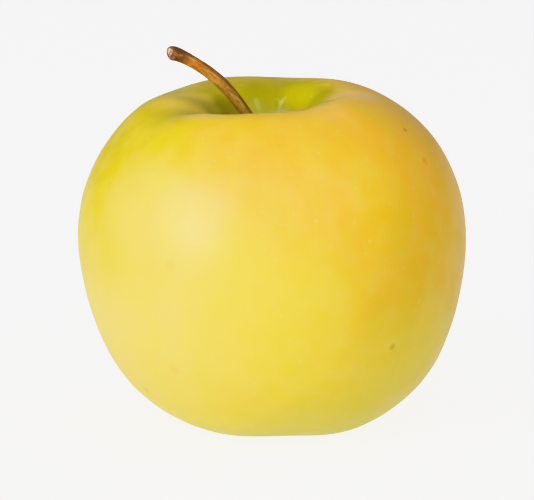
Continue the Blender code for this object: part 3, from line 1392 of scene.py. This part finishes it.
@dataclass
class Sepals:
    """The dried sepals that hang round the mouth of the flower tube."""

    count: int = 5
    rows: tuple[Place, ...] = (  # radius, height and half width down each sepal
        (3.3, 7.4, 1.6),
        (3.7, 5.5, 1.9),
        (3.3, 3.9, 1.6),
        (2.6, 2.7, 1.1),
        (2.7, 1.7, 0.6),
        (3.4, 1.1, 0.12),
    )
    columns: int = 4
    length: float = 7.0
    hollow: float = 0.4
    thickness: float = 0.22
    crinkles: tuple[Span, ...] = ((0.16, 1.1), (0.06, 0.4))
    curl: Span = (-0.3, 0.5)  # the least and most that a sepal's end is out of line
    twist: Span = (-0.7, 0.7)
    lift: Span = (0.0, 0.5)
    sway: Span = (-0.07, 0.07)  # in radians, round the axis
    rounds: int = 3  # how often it is subdivided
    crease: float = 60.0
    seed: int = 31

    def build(self, finish: DriedFinish) -> None:
        """Model each sepal and hand it over.

        Args:
            finish: How they all look.
        """
        material = finish.make()
        for number in range(self.count):
            node = f"sepal_{number + 1}"
            Piece(node, Slot.HUSK).hand_over(self.leaf(number), material)

    def leaf(self, number: int) -> bpy.types.Object:
        """Return one sepal, dried to a shape of its own.

        Args:
            number: Which sepal it is, from 0.

        Returns:
            The mesh object.
        """
        draw = random.Random(self.seed + number)
        rows = len(self.rows)
        grid = bpy.ops.mesh.primitive_grid_add
        leaf = add_shape(grid, x_subdivisions=self.columns, y_subdivisions=rows - 1, size=2 * MM)
        flat = places_of(leaf)
        across, down = flat[:, 0], (flat[:, 1] + 1) / 2
        stations = np.linspace(0.0, 1.0, rows)
        radius, height, half = (np.interp(down, stations, column) for column in zip(*self.rows))
        radius += self.hollow * (1 - across**2) + draw.uniform(*self.curl) * down**2
        sideways = across * half + draw.uniform(*self.twist) * down**2
        height += draw.uniform(*self.lift) * down
        write_mark(leaf, Mark.GRAIN, np.column_stack([across * half, across * 0.0, down * self.length]))
        write_mark(leaf, Mark.ALONG, down)
        turn = TURN * number / self.count + draw.uniform(*self.sway)
        x = radius * math.cos(turn) - sideways * math.sin(turn)
        y = radius * math.sin(turn) + sideways * math.cos(turn)
        move_to(leaf, np.column_stack([x, y, height]) + middle_of("styles") * (1, 1, 0))
        apply_modifier(leaf, "SUBSURF", levels=self.rounds, render_levels=self.rounds)
        places = places_of(leaf)
        push_out(leaf, sum(high * lumps(places, wide) for high, wide in self.crinkles))
        apply_modifier(leaf, "SOLIDIFY", thickness=self.thickness * MM, offset=0.0, use_even_offset=True)
        with editing(leaf):
            close_up()
        smooth_faces(leaf, self.crease)
        return leaf


@dataclass
class Threads(Piece):
    """A set of dried threads that hang down the flower tube, each with a head on its end."""

    node: str
    slot: Slot = Slot.THREAD
    count: int = 10
    start: Span = (1.42, 8.3)  # radius and height
    end: Span = (1.35, 4.8)
    radii: Span = (0.15, 0.09)
    stations: tuple[float, ...] = (0.0, 0.3, 0.55, 0.8, 1.0)  # the shares of the length with a point
    sway: float = 0.12  # in radians, round the axis
    looseness: float = 0.28
    head: Place = (0.2, 0.26, 0.42)  # half its size each way
    head_tilt: float = 0.5
    head_fade: Span = (0.3, -0.1)  # the heights over the end between which the dark head comes in
    shrivel: Span = (0.03, 0.25)  # how high and how wide
    steps: int = 6
    bevel: int = 2
    crease: float = 60.0
    seed: int = 5

    def build(self, root: bpy.types.Object, material: bpy.types.Material) -> None:
        """Model the threads on what they hang from and hand them over together.

        Args:
            root: The ring or column that they hang from.
            material: Their finish.
        """
        draw = random.Random(self.seed)
        routes = [self.route(number, draw) for number in range(self.count)]
        lines = smooth_line("threads", routes, self.steps)
        thin = (self.radii[0], *(self.radii[1],) * (len(self.stations) - 1))
        thicken(lines, [thin] * self.count, self.bevel)
        with editing(lines):
            close_up()
        whole = join([root, lines, *(self.head_at(Vector(route[-1]), draw) for route in routes)])
        places = places_of(whole)
        write_mark(whole, Mark.GRAIN, places - middle_of(self.node))
        high, low = (self.end[1] + shift for shift in self.head_fade)
        write_mark(whole, Mark.ALONG, fade(places[:, 2], (high, low)))
        push_out(whole, self.shrivel[0] * lumps(places, self.shrivel[1]))
        smooth_faces(whole, self.crease)
        self.hand_over(whole, material)

    def route(self, number: int, draw: random.Random) -> list[Place]:
        """Return one thread's control points.

        Args:
            number: Which thread it is, from 0.
            draw: What its own bends are drawn from.

        Returns:
            The points from its root to its end, in mm.
        """
        middle = middle_of(self.node)
        turn = TURN * number / self.count + draw.uniform(-self.sway, self.sway)
        route = []
        for share in self.stations:
            loose = share * self.looseness
            radius = self.start[0] + (self.end[0] - self.start[0]) * share + draw.uniform(-loose, loose)
            height = self.start[1] + (self.end[1] - self.start[1]) * share + draw.uniform(-loose, loose)
            swing = turn + draw.uniform(-loose, loose)
            x, y = middle[0] + radius * math.cos(swing), middle[1] + radius * math.sin(swing)
            route.append((x, y, height))
        return route

    def head_at(self, place: Vector, draw: random.Random) -> bpy.types.Object:
        """Return the small dried head on a thread's end.

        Args:
            place: The thread's end, in mm.
            draw: What its tilt is drawn from.

        Returns:
            The mesh object.
        """
        tilt = self.head_tilt
        return add_shape(
            bpy.ops.mesh.primitive_uv_sphere_add,
            segments=10,
            ring_count=6,
            radius=MM,
            location=place * MM,
            rotation=(draw.uniform(-tilt, tilt), draw.uniform(-tilt, tilt), draw.uniform(0, TURN)),
            scale=self.head,
        )


@dataclass
class Flower:
    """The dried flower in the basin: sepals, stamens on their ring and styles on their column."""

    ring: Span = (1.42, 0.27)  # the ring's own radius and how thick it is
    ring_height: float = 8.2
    column: Outline = ((0.0, 11.2), (0.45, 11.1), (0.62, 9.8), (0.66, 8.4), (0.5, 7.7), (0.0, 7.5))
    column_steps: int = 4
    column_sides: int = 20

    def build(self, husk: DriedFinish, thread: DriedFinish) -> None:
        """Model the flower's pieces and hand them over.

        Args:
            husk: How the sepals look.
            thread: How the stamens and styles look.
        """
        Sepals().build(husk)
        material = thread.make()
        Threads("stamens").build(self.stamen_ring(), material)
        styles = Threads(
            "styles", count=5, start=(0.3, 8.2), end=(0.95, 4.2), radii=(0.22, 0.13), head=(0.2, 0.2, 0.24)
        )
        styles.build(self.style_column(), material)

    def stamen_ring(self) -> bpy.types.Object:
        """Return the ring that the stamens hang from.

        Returns:
            The mesh object.
        """
        middle = middle_of("stamens")
        return add_shape(
            bpy.ops.mesh.primitive_torus_add,
            major_radius=self.ring[0] * MM,
            minor_radius=self.ring[1] * MM,
            major_segments=48,
            minor_segments=10,
            location=Vector((middle[0], middle[1], self.ring_height)) * MM,
        )

    def style_column(self) -> bpy.types.Object:
        """Return the column that the styles grow from.

        Returns:
            The mesh object.
        """
        column = half_outline("column", self.column, self.column_steps)
        spin_round(column, self.column_sides)
        move_to(column, places_of(column) + middle_of("styles") * (1, 1, 0))
        return column


@dataclass(frozen=True)
class Lamp:
    """One soft lamp that points at the apple."""

    name: str
    azimuth: float
    elevation: float
    distance: float
    size: Span
    power: float  # in watts


@dataclass
class Studio:
    """A pale floor, soft light and the camera."""

    aim: Place = (-1.1, 0.0, 35.0)
    distance: float = 600.0
    elevation: float = 13.0
    lens: float = 196.2
    nearest: float = 0.01  # what the camera still sees, in metres
    lamps: tuple[Lamp, ...] = (
        Lamp("key", -48.0, 24.0, 1000.0, (500.0, 800.0), 10.2),
        Lamp("fill", 30.0, 40.0, 1200.0, (1000.0, 1000.0), 5.9),
    )
    floor_size: float = 8000.0
    floor_drop: float = 0.02
    floor_colour: Colour = (0.2, 0.2, 0.2)
    floor_glow: float = 0.66
    floor_white: float = 1.15
    sky_low: float = 0.39
    sky_high: float = 0.22
    sky_rise: float = 0.9

    def build(self) -> None:
        """Set everything up."""
        self.add_camera()
        self.add_floor()
        self.add_sky()
        for lamp in self.lamps:
            self.add_lamp(lamp)
        bpy.context.scene.view_settings.view_transform = "Khronos PBR Neutral"

    def stand(self, azimuth: float, elevation: float, distance: float) -> Vector:
        """Return the place at a distance from the aim."""
        return (Vector(self.aim) + direction(azimuth, elevation) * distance) * MM

    def point(self, thing: bpy.types.Object, place: Vector) -> None:
        """Put a camera or a lamp at a place and turn it to the aim.

        Args:
            thing: The camera or lamp.
            place: Where it stands, in metres.
        """
        thing.location = place
        thing.rotation_euler = (Vector(self.aim) * MM - place).to_track_quat("-Z", "Y").to_euler()
        bpy.context.scene.collection.objects.link(thing)

    def add_camera(self) -> None:
        """Add the camera and make it the scene's."""
        data = bpy.data.cameras.new("camera")
        data.lens = self.lens
        data.clip_start = self.nearest
        camera = bpy.data.objects.new("camera", data)
        self.point(camera, self.stand(0.0, self.elevation, self.distance))
        bpy.context.scene.camera = camera

    def add_lamp(self, lamp: Lamp) -> None:
        """Add one soft lamp.

        Args:
            lamp: Where it stands, how big it is and how bright.
        """
        data = bpy.data.lights.new(lamp.name, "AREA")
        data.shape = "RECTANGLE"
        data.size, data.size_y = (side * MM for side in lamp.size)
        data.energy = lamp.power
        place = self.stand(lamp.azimuth, lamp.elevation, lamp.distance)
        self.point(bpy.data.objects.new(lamp.name, data), place)

    def add_floor(self) -> None:
        """Add the floor, which shows only from above."""
        bpy.ops.object.select_all(action="DESELECT")
        bpy.ops.mesh.primitive_plane_add(size=self.floor_size * MM, location=(0, 0, -self.floor_drop * MM))
        floor = bpy.context.object
        floor.name = "floor"
        graph, shader, material = start_material("floor")
        shader.inputs["Base Color"].default_value = rgba(self.floor_colour)
        shader.inputs["Roughness"].default_value = 1.0
        shader.inputs["Specular IOR Level"].default_value = 0.0
        shader.inputs["Emission Color"].default_value = (1, 1, 1, 1)
        seen = graph.add("LightPath").outputs["Is Camera Ray"]
        glow = graph.math("MULTIPLY_ADD", seen, self.floor_white - self.floor_glow, self.floor_glow)
        graph.link(glow, shader.inputs["Emission Strength"])
        clear = graph.add("BsdfTransparent")
        side = graph.add("NewGeometry").outputs["Backfacing"]
        both = graph.add("MixShader", {0: side, 1: shader.outputs[0], 2: clear.outputs[0]})
        graph.link(both.outputs[0], material.node_tree.nodes["Material Output"].inputs["Surface"])
        floor.data.materials.append(material)

    def add_sky(self) -> None:
        """Surround everything with a plain light that is dimmer overhead."""
        world = bpy.data.worlds.new("studio")
        world.use_nodes = True
        graph = Graph(world.node_tree)
        way = graph.add("TexCoord").outputs["Generated"]
        height = graph.add("SeparateXYZ", {0: way}).outputs["Z"]
        low, high = (self.sky_low,) * 3, (self.sky_high,) * 3
        colour = graph.mix(graph.step(height, 0.0, self.sky_rise), low, high)
        graph.link(colour, world.node_tree.nodes["Background"].inputs["Color"])
        bpy.context.scene.world = world


def main() -> None:
    """Build the apple and its studio."""
    logging.basicConfig(level=logging.INFO, format="%(message)s")
    Studio().build()
    Fruit().build(SkinFinish())
    Stem().build(BarkFinish())
    Flower().build(HUSK, THREAD)


if __name__ == "__main__":
    main()
